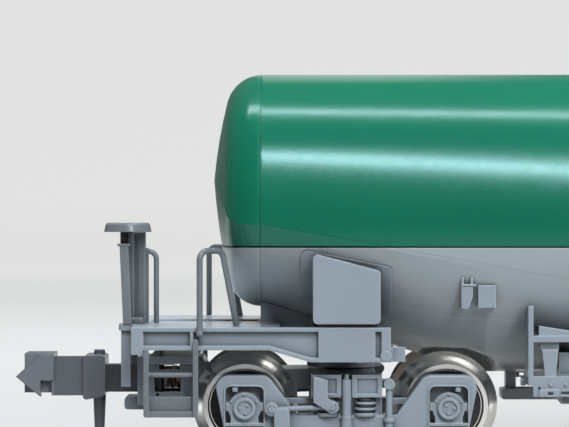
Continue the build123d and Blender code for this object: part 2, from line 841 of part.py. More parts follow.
face_y = -side_out_y
plate_body = side_plate(here * side_profile(), face_y, -side_in_y)
plate_body = chamfer(plate_body.faces().sort_by(Axis.Y)[0].edges(), side_edge)


def axle_box():
    """Recess with its lip, arched box and raised cap, at the outer axle."""
    spot = here * Pos(box_x, 0)
    recess = spot * Pos(0, 1.37 - recess_h / 2) * RectangleRounded(recess_w, recess_h, 0.35)
    edge = spot * Pos(0, 1.37 - recess_h / 2) * RectangleRounded(
        recess_w + 2 * lip_w, recess_h + 2 * lip_w, 0.35 + lip_w
    )
    floor_y = face_y + recess_t
    ring = side_plate(edge - recess, face_y - lip_w, face_y)
    arch = Circle(box_r) + Pos(0, -0.6) * Rectangle(1.7, 1.0)
    lugs = Pos(0, 0.1) * Rectangle(2 * box_r + 0.3, 0.5)
    parts = side_plate(spot * (arch + lugs), face_y - 0.05, floor_y)
    parts += side_plate(spot * Pos(0, -1.0) * Rectangle(recess_w, 0.2), face_y - 0.1, floor_y)
    parts += side_plate(spot * Pos(-0.58, 1.17) * Rectangle(0.3, 0.25), face_y - 0.1, floor_y)
    parts += side_plate(spot * Circle(cap_r), face_y - cap_t, face_y)
    parts -= side_plate(spot * Circle(cap_in_r), face_y - cap_t, face_y - cap_t + 0.1)
    return side_plate(recess, face_y, floor_y), ring + parts


recess, box = axle_box()
side = plate_body - recess + box
across_bogie = Pos(-2 * bogie_x, 0, 0)
side -= across_bogie * other_end(recess)
side += across_bogie * other_end(box)
box_low = bolster_rise - bolster_box_h
box_face = face_y - 0.25
for way in (-1, 1):
    middle = way * (damper_r + 0.03 + bolster_half) / 2
    wide = bolster_half - damper_r - 0.03
    tall = Pos(middle, box_low + bolster_box_h / 2)
    side += side_plate(here * tall * Rectangle(wide, bolster_box_h), box_face, -side_in_y)
    panel = Rectangle(wide - 0.55, bolster_box_h - 0.45)
    side -= side_plate(here * tall * panel, box_face, box_face + 0.15)
    column = Pos(way * (bolster_half - 0.2), (box_low - beam_drop) / 2)
    side += side_plate(
        here * column * Rectangle(0.4, box_low + beam_drop), face_y + 0.3, -side_in_y
    )
    rail_bar = Pos(way * 2.95, 0.42) * Rectangle(1.9, 0.36)
    side += side_plate(here * rail_bar, -side_in_y - 0.5, -side_in_y)
coil_h = box_low + beam_drop
coil = [(0, -coil_h / 2)]
for k in range(coil_turns):
    z = -coil_h / 2 + coil_h * k / coil_turns
    pitch = coil_h / coil_turns
    coil += [(coil_in_r, z), (coil_in_r, z + 0.2 * pitch)]
    coil += [(coil_out_r, z + 0.4 * pitch), (coil_out_r, z + 0.8 * pitch)]
coil += [(coil_in_r, coil_h / 2), (0, coil_h / 2)]
coil_y = face_y + 0.45
for x in (-coil_x, coil_x):
    middle_z = axle_z + (box_low - beam_drop) / 2
    side += turned(coil, Pos(x - bogie_x, coil_y, middle_z) * Rot(0, coil_tilt, 0))
    seat_z = axle_z - beam_drop
    side += bar((x - bogie_x, coil_y, seat_z - 0.1), (x - bogie_x, coil_y, seat_z + 0.1), 0.8)
damper = [
    (0, -1.5),
    (damper_r + 0.05, -1.5),
    (damper_r + 0.05, -0.65),
    (damper_r + 0.1, -0.56),
    (damper_r, -0.5),
    (damper_r, 1.79),
    (0.17, 1.86),
    (0.14, 2.1),
    (0, 2.19),
]
side += turned(damper, Pos(-bogie_x, face_y - 0.15, axle_z))
side_damper = [
    (0, -1.6),
    (side_damper_r + 0.05, -1.6),
    (side_damper_r + 0.05, -0.82),
    (side_damper_r + 0.15, -0.82),
    (side_damper_r + 0.15, -0.6),
    (side_damper_r, -0.56),
    (side_damper_r, 1.5),
    (0, 1.5),
]
damper_at = -bogie_x + side_damper_x
side += turned(side_damper, Pos(damper_at, face_y - 0.15, axle_z))
eye_z = axle_z + 1.53
side += bar((damper_at, face_y - 0.45, eye_z), (damper_at, face_y + 0.3, eye_z), 0.34)
arm = Pos((bolster_half + side_damper_x) / 2, 1.53) * Rectangle(0.8, 0.5)
side += side_plate(here * arm, face_y + 0.1, -side_in_y)
# Link rod between two eyes, as (along X, up from the axle, eye radius)
link_y = face_y - 0.25
eyes = [(-4.67, -0.04, link_eye_r), (-0.9, 0.11, link_eye_r)]
ends = []
for along, up, radius in eyes:
    x = along - bogie_x
    z = axle_z + up
    ends.append((x, link_y, z))
    side += bar((x, link_y - 0.25, z), (x, face_y + 0.5, z), radius)
    side += bar((x, link_y - 0.37, z), (x, link_y, z), 0.2)
side += bar(ends[0], ends[1], link_r)
low_bracket = [(-4.49, -1.5), (-4.49, 0.03), (-3.72, 0.03), (-3.56, -0.13), (-3.56, -1.5)]
side += side_plate(here * sheet(low_bracket), face_y - 0.6, face_y + 0.1)
drop_bracket = [
    (-2.06, 2.01),
    (-1.21, 1.8),
    (-1.21, 0.73),
    (-0.72, 0.33),
    (-1.2, -0.1),
    (-2.06, 0.4),
]
side += side_plate(here * sheet(drop_bracket), face_y - 0.65, face_y - 0.1)
bore_end = -journal_end_y - end_float
hole_r = journal_r + journal_fit
for x in (-bogie_x - axle_half, -bogie_x + axle_half):
    side -= bar((x, bore_end, axle_z), (x, 0, axle_z), hole_r)
    side -= Solid.make_cone(
        hole_r, 0.1, point_len + 0.05, Plane((x, bore_end, axle_z), z_dir=(0, -1, 0))
    )

# Bogie: two side frames, bolster, tongue and coupler pocket in one moulding.
coupler_x = -bogie_x - coupler_arm
coupler_z = axle_z + coupler_rise
bogie = both_sides(side)
bolster_low = bolster_top - bolster_t
bogie += block(
    -bogie_x - 1.9, -bogie_x + 1.9, -side_in_y - 0.2, side_in_y + 0.2, bolster_low, bolster_top
)
pocket_in = coupler_x + 2.1
pocket_out = coupler_x - 0.7
box_out = pocket_out - pocket_wall
box_in = pocket_in + pocket_wall
pocket_half_z = shank_h / 2 + pocket_gap
tongue = [
    (box_out, coupler_z - pocket_half_z - pocket_wall),
    (box_out, coupler_z + pocket_half_z + 0.4),
    (box_in + 0.2, coupler_z + pocket_half_z + 0.4),
    (box_in + 0.6, bolster_top),
    (-bogie_x, bolster_top),
    (-bogie_x, bolster_low + 0.2),
    (box_in, bolster_low + 0.2),
    (box_in - 0.3, coupler_z - pocket_half_z - pocket_wall),
]
bogie += side_plate(sheet(tongue), -tongue_half_y, tongue_half_y)
lip_z = axle_z - 0.6
lip = block(box_out - 0.9, box_out + 1.5, -1.2, 1.2, lip_z, lip_z + 0.85)
bogie += fillet(lip.faces().sort_by(Axis.X)[0].edges().filter_by(Axis.Y), 0.25)
end_bar_z = coupler_z + 1.19
bogie += block(coupler_x - 0.4, box_in, -5.0, 5.0, end_bar_z, end_bar_z + 0.46)
bogie -= bar((-bogie_x, 0, 0), (-bogie_x, 0, deck_z), stud_r + stud_fit)
pocket_y = tail_half_y + mouth_gap - 0.1
pocket_z = (coupler_z - pocket_half_z, coupler_z + pocket_half_z)
bogie -= block(pocket_out, pocket_in, -pocket_y, pocket_y, *pocket_z)
mouth_y = shank_half_y + mouth_gap
bogie -= block(box_out - 0.1, pocket_out + 0.1, -mouth_y, mouth_y, *pocket_z)
# Windows through both walls as (along X from the turning axis, width, height, centre)
windows = [
    (0.65, 1.7, 1.2, -0.2),
    (0.54, 0.9, 0.3, 0.8),
    (1.24, 0.36, 0.36, 0.83),
    (0, 0.2, 0.15, -0.97),
]
for x, wide, high, rise in windows:
    hole = Pos(coupler_x + x, coupler_z + rise) * Rectangle(wide, high)
    bogie -= side_plate(hole, -tongue_half_y, tongue_half_y)
save("bogie_a", bogie)
save("bogie_b", other_end(bogie))

# Couplers: hook head, shank and round-backed tail, with a spring behind each.
nose = coupler_x - coupler_reach
head_y = -head_half_y + 0.8
point = [
    (nose, coupler_z + 0.17),
    (nose + 1.6, coupler_z + 1.6),
    (nose + 1.6, coupler_z - 1.15),
]
hook = side_plate(sheet(point), -head_half_y, head_y)
hook += block(nose + 1.5, nose + 2.45, -head_half_y, head_y, coupler_z - 0.1, coupler_z + 1.57)
hook += block(nose + 0.5, nose + 2.4, head_y - 0.1, head_half_y, coupler_z - 0.91, coupler_z + 1.63)
collar = [
    (nose + 4.35, coupler_z + 1.53),
    (nose + 5.78, coupler_z + 1.53),
    (nose + 5.78, coupler_z - 1.08),
    (nose + 4.35, coupler_z - 1.37),
]
hook += side_plate(rounded(collar, 0.2), -head_half_y, head_half_y)
hook += block(
    nose + 2.3,
    nose + 4.5,
    -head_half_y + 0.15,
    -head_half_y + 0.15 + head_wall,
    coupler_z - 1.06,
    coupler_z + 1.48,
)
shank_z = (coupler_z - shank_h / 2, coupler_z + shank_h / 2)
hook += block(nose + 5.7, coupler_x, -shank_half_y, shank_half_y, *shank_z)
hook += block(
    coupler_x - 0.2, coupler_x + 0.2, -tail_half_y, tail_half_y, *shank_z
)
hook += bar((coupler_x, 0, shank_z[0]), (coupler_x, 0, shank_z[1]), tail_r)
pin_x = nose + 5.3
pin = [
    (0, coupler_z + 1.83),
    (pin_r - 0.08, coupler_z + 1.83),
    (pin_r, coupler_z + 1.4),
    (pin_r, coupler_z - 1.2),
    (pin_r - 0.12, 0.9),
    (0, 0.9),
]
hook += turned(pin, Pos(pin_x, 0, 0))
save("coupler_a", hook)
save("coupler_b", other_end(hook))
helix = Helix(pitch=spring_pitch, height=spring_pitch * spring_turns, radius=spring_r)
spring = sweep(Plane(helix @ 0, z_dir=helix % 0) * RegularPolygon(spring_wire_r, 6), helix)
spring = Pos(coupler_x + tail_r + 0.2, 0, coupler_z) * Rot(0, 90, 0) * spring
save("spring_a", spring)
save("spring_b", other_end(spring))
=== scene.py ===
import json
from math import cos, pi, sin

import bmesh
import bpy
from bpy.props import FloatProperty, FloatVectorProperty, IntProperty, PointerProperty
from mathutils import Matrix, Vector


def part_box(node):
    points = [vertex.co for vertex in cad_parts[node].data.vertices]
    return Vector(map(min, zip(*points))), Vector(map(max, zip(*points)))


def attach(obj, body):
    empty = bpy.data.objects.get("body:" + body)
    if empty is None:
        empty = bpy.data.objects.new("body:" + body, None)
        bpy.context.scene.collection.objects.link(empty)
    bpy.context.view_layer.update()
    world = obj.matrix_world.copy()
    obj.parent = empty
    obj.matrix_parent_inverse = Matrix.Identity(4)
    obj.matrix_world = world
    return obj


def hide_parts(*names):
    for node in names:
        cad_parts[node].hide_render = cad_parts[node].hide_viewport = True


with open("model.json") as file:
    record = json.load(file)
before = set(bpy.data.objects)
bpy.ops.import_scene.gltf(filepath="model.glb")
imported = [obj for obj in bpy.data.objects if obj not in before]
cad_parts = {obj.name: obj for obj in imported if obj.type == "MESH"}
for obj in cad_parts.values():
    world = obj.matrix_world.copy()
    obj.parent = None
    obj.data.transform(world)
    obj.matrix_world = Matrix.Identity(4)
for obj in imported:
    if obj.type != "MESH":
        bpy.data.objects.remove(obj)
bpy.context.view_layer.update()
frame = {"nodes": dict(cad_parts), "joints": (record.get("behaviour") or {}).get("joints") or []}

bl_info = {
    "name": "Model tank car dresser",
    "version": (1, 0, 0),
    "blender": (4, 5, 0),
    "location": "3D View > Sidebar > Tank Car",
    "description": "Finishes, small fittings and studio for the model railway tank car",
    "category": "Object",
}

nodes = frame["nodes"]
pivots = {joint["name"]: Vector(joint["pos_m"]) for joint in frame["joints"]}
MM = 0.001
BOGIE_X = abs(pivots["bogie_a_swivel"].x)
AXLE_Z = pivots["wheelset_1_spin"].z
AXLE_HALF = abs(pivots["wheelset_1_spin"].x) - BOGIE_X
TANK_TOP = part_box("tank_upper")[1]
TANK_Z = TANK_TOP.z - TANK_TOP.y

# Measures in millimetres. X and Y count from the car's middle, Z from the flanges' foot
SIDE_FACE_Y = 7.9
SILL_FACE_Y = 9.3
HEAD_SEAM_X = 34.61
HEAD_HIGHLIGHT_X = 34.75
SLOPE_SEAM_X, SLOPE_SEAM_Z, SLOPE_SEAM_RISE = 26.2, 13.33, 0.18
SLOPE_START_X, SLOPE_END_X, SLOPE_SIDE_Y = 12.0, 34.5, 6.0
BOTTOM_BEND_X, BOTTOM_BEND_Z = 22.87, 8.98
BOTTOM_RISE_IN, BOTTOM_RISE_OUT = 0.044, 0.22  # per millimetre along the car
# Weld lines of the lower tank: raised in the bump and drawn as painted highlights
WELD_START_X, WELD_END_X, WELD_SIDE_Y = 18.6, 27.6, 2.0
KEEL_WELD_END_X, KEEL_WELD_Z = 20.5, 6.35
SEAM_HALF = 0.03
HEAD_LINE_HALF = 0.035
SPRING_X = 1.13  # from the bogie's middle
SPRING_IN = 0.45  # from the side frame's face
WELL_UP, WELL_HALF = 0.16, 0.52  # middle above the axle, half height
WELL_SQUARE = 0.5  # radius squared
WHEEL_FACE_Y, WHEEL_CENTRE = 4.9, 2.2
COUPLER_PLATE_X, COUPLER_PLATE_Y = 48.05, -0.9


# Settings
class TankCarFinishes(bpy.types.PropertyGroup):
    """Colours and gloss of the mouldings and metals."""

    upper_green: FloatVectorProperty(
        name="Upper tank", description="Colour of the upper tank moulding",
        subtype="COLOR", size=3, min=0, max=1, default=(0.010, 0.213, 0.116))
    lower_grey: FloatVectorProperty(
        name="Lower tank", description="Colour of the lower tank moulding",
        subtype="COLOR", size=3, min=0, max=1, default=(0.53, 0.575, 0.585))
    frame_grey: FloatVectorProperty(
        name="Frame", description="Colour of the frame and bogie mouldings",
        subtype="COLOR", size=3, min=0, max=1, default=(0.45, 0.50, 0.545))
    rail_grey: FloatVectorProperty(
        name="Rails", description="Colour of the rails, steps and brake stand",
        subtype="COLOR", size=3, min=0, max=1, default=(0.26, 0.28, 0.29))
    wheel_metal: FloatVectorProperty(
        name="Wheels", description="Colour of the plated wheels",
        subtype="COLOR", size=3, min=0, max=1, default=(0.95, 0.91, 0.86))
    coupler_grey: FloatVectorProperty(
        name="Couplers", description="Colour of the darker coupler mouldings",
        subtype="COLOR", size=3, min=0, max=1, default=(0.165, 0.175, 0.188))
    axle_black: FloatVectorProperty(
        name="Axles", description="Colour of the axles",
        subtype="COLOR", size=3, min=0, max=1, default=(0.015, 0.015, 0.017))
    spring_copper: FloatVectorProperty(
        name="Coupler springs", description="Colour of the coupler springs",
        subtype="COLOR", size=3, min=0, max=1, default=(0.76, 0.40, 0.24))
    weight_steel: FloatVectorProperty(
        name="Weight", description="Colour of the steel weight inside the tank",
        subtype="COLOR", size=3, min=0, max=1, default=(0.42, 0.42, 0.43))
    tank_roughness: FloatProperty(
        name="Tank roughness", description="Roughness of the green gloss",
        min=0, max=1, default=0.2)
    grey_roughness: FloatProperty(
        name="Grey roughness", description="Roughness of the satin grey plastic",
        min=0, max=1, default=0.25)


class TankCarFittings(bpy.types.PropertyGroup):
    """Sizes of the small fittings."""

    cap_bolt: FloatProperty(
        name="Cap bolt", description="Radius of the bolts on the axle box caps",
        unit="LENGTH", min=0, default=0.00011)
    frame_bolt: FloatProperty(
        name="Frame pin", description="Radius of the pins on the gear plates",
        unit="LENGTH", min=0, default=0.00012)
    clamp_count: IntProperty(
        name="Lid clamps", description="Number of swing bolts round the manhole lid",
        min=2, max=24, default=8)
    clamp_bolt: FloatProperty(
        name="Clamp bolt", description="Radius of the swing bolts of the lid",
        unit="LENGTH", min=0, default=0.00022)
    coil_wire: FloatProperty(
        name="Bogie coil wire", description="Radius of the wire of the bogie springs",
        unit="LENGTH", min=0, default=0.00010)
    eye_ring: FloatProperty(
        name="Eye ring", description="Radius of the raised ring on the link rod's eyes",
        unit="LENGTH", min=0, default=0.00030)


class TankCarStudio(bpy.types.PropertyGroup):
    """Camera, floor and light."""

    lens: FloatProperty(
        name="Lens", description="Focal length of the camera in millimetres",
        min=10, max=500, default=154.8)
    camera_place: FloatVectorProperty(
        name="Camera", description="Place of the camera, which looks along +Y",
        subtype="TRANSLATION", unit="LENGTH", size=3, default=(-0.03311, -0.160, 0.01547))
    floor_colour: FloatVectorProperty(
        name="Floor", description="Colour of the floor and its upturned edge",
        subtype="COLOR", size=3, min=0, max=1, default=(0.30, 0.303, 0.30))
    glow: FloatProperty(
        name="Backdrop glow", description="Brightness of the lit backdrop",
        min=0, max=5, default=0.72)
    fill: FloatProperty(
        name="Fill", description="Strength of the light from above all round",
        min=0, max=5, default=0.05)
    front_strip: FloatProperty(
        name="Front strip", description="Power of the strip light in front",
        min=0, max=50, default=1.46)
    top_strip: FloatProperty(
        name="Top strip", description="Power of the strip light overhead",
        min=0, max=50, default=0.80)
    wheel_card: FloatProperty(
        name="Wheel card", description="Power of the card that only the wheels mirror",
        min=0, max=50, default=2.2)
    back_strip: FloatProperty(
        name="Back strip", description="Power of the strip light behind",
        min=0, max=50, default=0.5)


# Shader expressions
class Term:
    """A value on a shader socket. Sums and products of terms add Math nodes."""

    def __init__(self, finish, socket):
        self.finish = finish
        self.socket = socket

    def math(self, operation, *values):
        return self.finish.add("ShaderNodeMath", {"operation": operation}, dict(enumerate(values)))

    def __add__(self, other):
        return self.math("ADD", self, other)

    def __radd__(self, other):
        return self.math("ADD", other, self)

    def __sub__(self, other):
        return self.math("SUBTRACT", self, other)

    def __rsub__(self, other):
        return self.math("SUBTRACT", other, self)

    def __mul__(self, other):
        return self.math("MULTIPLY", self, other)

    def __rmul__(self, other):
        return self.math("MULTIPLY", other, self)

    def __truediv__(self, other):
        return self.math("DIVIDE", self, other)

    def __pow__(self, other):
        return self.math("POWER", self, other)

    def __lt__(self, other):
        return self.math("LESS_THAN", self, other)

    def __gt__(self, other):
        return self.math("GREATER_THAN", self, other)

    def __abs__(self):
        return self.math("ABSOLUTE", self)

    def sine(self):
        return self.math("SINE", self)

    def root(self):
        return self.math("SQRT", self)

    def or_more(self, other):
        return self.math("MAXIMUM", self, other)

    def held(self):
        """Kept between 0 and 1."""
        return self.finish.add("ShaderNodeClamp", {}, {"Value": self})

    def ramp(self, start, end):
        """From 0 at the start to 1 at the end, and level beyond them."""
        return ((self - start) / (end - start)).held()


class Finish:
    """One material round a Principled shader."""

    def __init__(self, name):
        self.material = bpy.data.materials.new(name)
        self.material.use_nodes = True
        self.tree = self.material.node_tree
        self.shader = self.tree.nodes["Principled BSDF"]
        millimetres = {0: self.add("ShaderNodeTexCoord", {}, {}, "Object"), "Scale": 1 / MM}
        self.place = self.add("ShaderNodeVectorMath", {"operation": "SCALE"}, millimetres)
        self.x = self.add("ShaderNodeSeparateXYZ", {}, {0: self.place}, "X")
        self.y = self.add("ShaderNodeSeparateXYZ", {}, {0: self.place}, "Y")
        self.z = self.add("ShaderNodeSeparateXYZ", {}, {0: self.place}, "Z")

    def add(self, kind, settings, values, output=0):
        """Any node: its settings first, then the values or links of its sockets."""
        node = self.tree.nodes.new(kind)
        for name, value in settings.items():
            setattr(node, name, value)
        for socket, value in values.items():
            self.plug(node.inputs[socket], value)
        return Term(self, node.outputs[output])

    def plug(self, socket, value):
        if isinstance(value, Term):
            self.tree.links.new(value.socket, socket)
        elif socket.type == "RGBA" and len(value) == 3:
            socket.default_value = (*value, 1.0)
        else:
            socket.default_value = value

    def edges(self, radius):
        """Normal that rolls over the sharp edges, and a mask of the rolled strip."""
        rolled = self.add("ShaderNodeBevel", {"samples": 4}, {"Radius": radius * MM})
        flat = self.add("ShaderNodeNewGeometry", {}, {}, "True Normal")
        angle = {"operation": "DOT_PRODUCT"}
        along = self.add("ShaderNodeVectorMath", angle, {0: rolled, 1: flat}, "Value")
        return rolled, ((1 - along) * 4.0).held()

    def level(self):
        """Mask of the faces that lie flat and look up."""
        normal = self.add("ShaderNodeNewGeometry", {}, {}, "Normal")
        return self.add("ShaderNodeSeparateXYZ", {}, {0: normal}, "Z") > 0.97

    def corners(self, reach, local=True):
        """Mask of the hollows and inner corners for painted shade, from 0 in the open to 1.

        Other pieces close by count too where it isn't local.
        """
        settings = {"samples": 4, "only_local": local}
        return 1 - self.add("ShaderNodeAmbientOcclusion", settings, {"Distance": reach * MM}, "AO")

    def noise(self, scale, detail=2.0, roughness=0.5, stretch=None):
        """Noise from 0 to 1, its scale in features per millimetre."""
        where = self.place
        if stretch:
            where = self.add("ShaderNodeMapping", {}, {"Vector": where, "Scale": stretch})
        values = {"Vector": where, "Scale": scale, "Detail": detail, "Roughness": roughness}
        return self.add("ShaderNodeTexNoise", {}, values)

    def mix(self, mask, first, second):
        """Colour between two, by a mask from 0 to 1."""
        return self.add("ShaderNodeMix", {"data_type": "RGBA"}, {0: mask, 6: first, 7: second}, 2)

    def bump(self, height, depth, normal=None):
        """Normal from a height of 0 to 1, its depth in millimetres, over another normal."""
        values = {"Strength": 1.0, "Distance": depth * MM, "Height": height}
        if normal:
            values["Normal"] = normal
        return self.add("ShaderNodeBump", {}, values)

    def shade(self, values):
        for socket, value in values.items():
            self.plug(self.shader.inputs[socket], value)
        return self.material


def tint(colour, factor):
    return tuple(min(1.0, part * factor) for part in colour)


# Finishes
def tank_seams_and_highlights(finish):
    """Masks of the dark seams, of the painted highlight beside the seam at the heads, and of what
    is below the slope.
    """
    length = abs(finish.x)
    over = finish.z - (SLOPE_SEAM_Z + (length - SLOPE_SEAM_X) * SLOPE_SEAM_RISE)
    side = (length < SLOPE_END_X) * (length > SLOPE_START_X) * (abs(finish.y) > SLOPE_SIDE_Y)
    slope = (abs(over) < SEAM_HALF) * side
    dark = (abs(length - HEAD_SEAM_X) < HEAD_LINE_HALF).or_more(slope * 0.6)
    # Painted highlight: a light line beside the head seam
    light = abs(length - HEAD_HIGHLIGHT_X) < HEAD_LINE_HALF
    return dark, light, (over < 0.0) * side


def gloss_green(settings):
    """Painted gloss plastic with faint sheet seams at the heads and along the slope,
    a painted highlight beside the head seams, and painted light that makes the green
    lighter below the slope seam.
    """
    finish = Finish("tank_green_gloss")
    seams, seam_highlight, lit_below_slope = tank_seams_and_highlights(finish)
    cloud = finish.noise(0.12, 3.0)
    peel = finish.noise(2.6, 2.0)
    grain = finish.noise(8.0, 2.0)
    dust = finish.noise(9.0, 1.0) > 0.74
    green = tuple(settings.upper_green)
    colour = finish.mix(cloud, tint(green, 0.93), tint(green, 1.07))
    # Painted light: lighter green below the slope seam, for the shading across the crease
    colour = finish.mix(lit_below_slope, colour, tint(green, 1.15))
    colour = finish.mix(seams * 0.6, colour, tint(green, 0.3))
    # Painted highlight beside the head seams
    colour = finish.mix(seam_highlight * 0.25, colour, tint(green, 1.9))
    colour = finish.mix(dust * 0.08, colour, (0.5, 0.55, 0.5))
    return finish.shade({
        "Base Color": colour,
        "Roughness": settings.tank_roughness + (peel - 0.5) * 0.06 + seams * 0.2,
        "Specular Tint": (0.66, 1.0, 1.0, 1.0),
        "Normal": finish.bump(peel * 0.2 + grain * 0.2 - seams, 0.012),
    })


def satin_grey(name, colour, roughness, marks=None):
    """Moulded satin plastic: fine grain and flow clouds, with painted shade in hollows and
    corners and where other pieces stand close, and painted highlights along the edges.

    Flat tops are painted a little lighter as painted light from above. Marks takes the
    finish, its plain colour, its colour and height so far, and gives these two back with
    its own drawing.
    """
    finish = Finish(name)
    cloud = finish.noise(0.25, 3.0)
    grain = finish.noise(7.0, 3.0, 0.6)
    rolled, edge_highlight = finish.edges(0.11)
    colour = tuple(colour)
    body = finish.mix(cloud, tint(colour, 0.94), tint(colour, 1.06))
    body = finish.mix((grain > 0.68) * 0.15, body, tint(colour, 1.25))
    # Painted light: flat tops that look up are painted lighter
    body = finish.mix(finish.level() * 0.5, body, tint(colour, 1.2))
    # Painted shade in the hollows and inner corners of the piece
    body = finish.mix(finish.corners(0.8), body, tint(colour, 0.3))
    # Painted shadow where other pieces stand close
    body = finish.mix(finish.corners(3.0, False) ** 1.6, body, tint(colour, 0.12))
    # Painted highlight along the edges
    body = finish.mix(edge_highlight * 0.8, body, tint(colour, 2.0))
    height = grain * 0.5
    if marks:
        body, height = marks(finish, colour, body, height)
    return finish.shade({
        "Base Color": body,
        "Roughness": roughness + (grain - 0.5) * 0.12,
        "Normal": finish.bump(height, 0.003, rolled),
    })


def sheet_seams_and_highlights(finish, colour, body, height):
    """Seams of the lower tank: at the heads, down the slope, and raised welds along the
    bottom, with painted highlights along the welds and beside the head seams.
    """
    dark, seam_highlight = tank_seams_and_highlights(finish)[:2]
    length = abs(finish.x)
    past_bend = length - BOTTOM_BEND_X
    bottom = (past_bend * BOTTOM_RISE_OUT).or_more(past_bend * BOTTOM_RISE_IN)
    weld_highlight = abs(finish.z - (BOTTOM_BEND_Z + bottom)) < SEAM_HALF
    weld_highlight = weld_highlight * (length < WELD_END_X) * (length > WELD_START_X) * (abs(finish.y) > WELD_SIDE_Y)
    keel_weld_highlight = (abs(finish.z - KEEL_WELD_Z) < SEAM_HALF) * (length < KEEL_WELD_END_X)
    weld_highlight = weld_highlight.or_more(keel_weld_highlight).or_more(seam_highlight)
    body = finish.mix(dark * 0.45, body, tint(colour, 0.45))
    # Painted highlight along the welds and beside the head seams; the bump raises them too
    body = finish.mix(weld_highlight * 0.3, body, tint(colour, 1.5))
    return body, height - dark + weld_highlight * 0.5


def spring_shade(finish, colour, body, height):
    """Painted shade: dark cores inside the wire of the bogie springs, where shade falls."""
    across = abs(abs(finish.x) - BOGIE_X / MM) - SPRING_X
    deep = abs(finish.y) - (SIDE_FACE_Y - SPRING_IN)
    up = finish.z - AXLE_Z / MM
    # Painted shade inside the coils
    shaded_core = (across * across + deep * deep) < WELL_SQUARE
    shaded_core = shaded_core * (abs(up - WELL_UP) < WELL_HALF)
    return finish.mix(shaded_core * 0.9, body, tint(colour, 0.06)), height


def coupler_plate(finish, colour, body, height):
    """Lighter pointed plate on the near side of the coupler head."""
    plate = (abs(finish.x) > COUPLER_PLATE_X) * (finish.y < COUPLER_PLATE_Y)
    return finish.mix(plate, body, tint(colour, 1.45)), height


def plated_wheel(settings):
    """Plated wheel: turned rings on metal, and inside the rim a dark centre that is painted shade
    of the recess.
    """
    finish = Finish("wheel_plated")
    across = abs(abs(finish.x) - BOGIE_X / MM) - AXLE_HALF / MM
    up = finish.z - AXLE_Z / MM
    radius = (across * across + up * up).root()
    rings = (radius * 85.0).sine() * 0.5 + 0.5
    smudge = finish.noise(0.9, 3.0)
    metal = tuple(settings.wheel_metal)
    colour = finish.mix(smudge, tint(metal, 0.9), tint(metal, 1.08))
    # Painted shade: the face inside the rim is painted black for the shaded recess
    centre = (radius < WHEEL_CENTRE) * (abs(finish.y) > WHEEL_FACE_Y)
    colour = finish.mix(centre, colour, tuple(settings.axle_black))
    return finish.shade({
        "Base Color": colour,
        "Metallic": 1.0 - centre,
        "Roughness": 0.11 + smudge * 0.08 + centre * 0.35,
        "Normal": finish.bump(rings, 0.0006),
    })


def drawn_metal(name, colour, roughness):
    """Bare metal with drawing marks and slight tarnish."""
    finish = Finish(name)
    marks = finish.noise(3.0, 3.0, 0.5, (8.0, 1.0, 1.0))
    tarnish = finish.noise(1.2, 2.0)
    colour = tuple(colour)
    return finish.shade({
        "Base Color": finish.mix(tarnish, tint(colour, 0.7), tint(colour, 1.1)),
        "Metallic": 1.0,
        "Roughness": roughness + marks * 0.15,
        "Normal": finish.bump(marks, 0.004),
    })


def blackened(settings):
    """Black acetal axle with turning marks."""
    finish = Finish("axle_black")
    turning = (finish.y * 60.0).sine() * 0.5 + 0.5
    wear = finish.noise(2.0, 2.0)
    black = tuple(settings.axle_black)
    return finish.shade({
        "Base Color": finish.mix(wear, black, tint(black, 2.2)),
        "Roughness": 0.35 + wear * 0.15,
        "Normal": finish.bump(turning, 0.002),
    })


def walkway_tread(settings):
    """Frame plastic with a pressed grid on top."""
    finish = Finish("walkway_tread")
    grid = (abs((finish.x * 6.2).sine()) < 0.25).or_more(abs((finish.y * 6.2).sine()) < 0.25)
    grain = finish.noise(7.0, 3.0, 0.6)
    grey = tuple(settings.frame_grey)
    return finish.shade({
        "Base Color": finish.mix(grid, tint(grey, 0.72), tint(grey, 1.05)),
        "Roughness": settings.grey_roughness + (grain - 0.5) * 0.12,
        "Normal": finish.bump(grid + grain * 0.1, 0.05),
    })


def paint(names, material):
    for name in names:
        slots = nodes[name].data.materials
        slots.clear()
        slots.append(material)


def starting(*starts):
    return [name for name in nodes if name.startswith(starts)]


# Mesh helpers
def finish_piece(name, bm, body, material, smooth=False):
    """Bmesh into an object at the origin that rides on a body."""
    bmesh.ops.recalc_face_normals(bm, faces=bm.faces)
    mesh = bpy.data.meshes.new(name)
    bm.to_mesh(mesh)
    bm.free()
    piece = bpy.data.objects.new(name, mesh)
    bpy.context.scene.collection.objects.link(piece)
    mesh.materials.append(material)
    if smooth:
        mesh.shade_smooth()
    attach(piece, body)
    return piece


def facing(place, direction):
    """Placement with its Z along a direction."""
    turn = Vector(direction).to_track_quat("Z", "Y").to_matrix().to_4x4()
    return Matrix.Translation(place) @ turn


def break_edges(bm, edges, width):
    bmesh.ops.bevel(
        bm, geom=list(edges), offset=width, segments=2, profile=0.5, affect="EDGES",
        material=-1)


def add_bolt(bm, place, direction, radius, height, sides=6):
    """Bolt head standing on a place, with its top edge broken."""
    seat = facing(place, direction) @ Matrix.Translation((0, 0, height / 2))
    made = bmesh.ops.create_cone(
        bm, cap_ends=True, segments=sides, radius1=radius, radius2=radius, depth=height,
        matrix=seat)
    outward = Vector(direction).normalized()
    tops = [v for v in made["verts"] if (v.co - Vector(place)).dot(outward) > height / 2]
    rim = {e for v in tops for e in v.link_edges if all(end in tops for end in e.verts)}
    break_edges(bm, rim, radius * 0.22)


